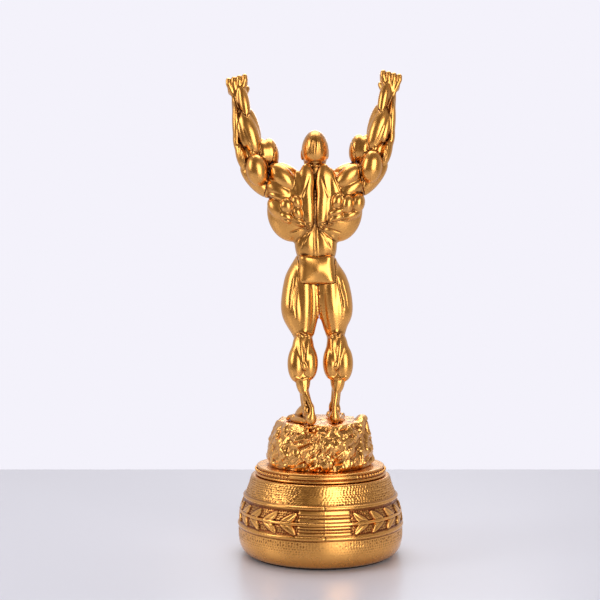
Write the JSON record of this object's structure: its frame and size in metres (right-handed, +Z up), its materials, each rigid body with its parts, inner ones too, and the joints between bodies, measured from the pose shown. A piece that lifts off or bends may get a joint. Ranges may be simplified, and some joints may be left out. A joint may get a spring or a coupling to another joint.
{
  "type": "figure trophy",
  "caption": "Gold bodybuilder figure trophy: a bare-chested athlete in posing trunks, fists raised, on a rock mound and a round plinth with a laurel band.",
  "frame": {"origin": "centre of the plinth's underside, on the face of the felt pad", "axes": "+Z up, +Y the way the athlete faces, +X to the athlete's right hand, so the athlete's back is towards -Y"},
  "size_m": [0.155, 0.145, 0.4201],
  "materials": {
    "figure_gold": "satin metallic gold lacquer on cast resin",
    "rock_gold": "satin metallic gold lacquer on cast resin",
    "plinth_gold": "satin metallic gold lacquer on cast resin",
    "steel": "bright zinc plate",
    "insert_brass": "turned",
    "plaster": "matte cast plaster",
    "fibreboard": "matte raw board",
    "felt": "matte"
  },
  "bodies": {
    "root": {"torso": "figure_gold", "head": "figure_gold", "left_arm": "figure_gold", "right_arm": "figure_gold", "left_leg": "figure_gold", "right_leg": "figure_gold", "rock_mound": "rock_gold", "plinth_cap": "plinth_gold", "plinth_body": "plinth_gold", "neck_pin": "steel", "left_shoulder_pin": "steel", "right_shoulder_pin": "steel", "left_leg_rod": "steel", "right_leg_rod": "steel", "left_rod_washer": "steel", "right_rod_washer": "steel", "left_rod_nut": "steel", "right_rod_nut": "steel", "tie_bolt": "steel", "tie_washer": "steel", "base_screw_1": "steel", "base_screw_2": "steel", "base_screw_3": "steel", "base_screw_4": "steel", "rock_insert": "insert_brass", "ballast_ring": "plaster", "base_plate": "fibreboard", "felt_pad": "felt"}
  },
  "joints": []
}
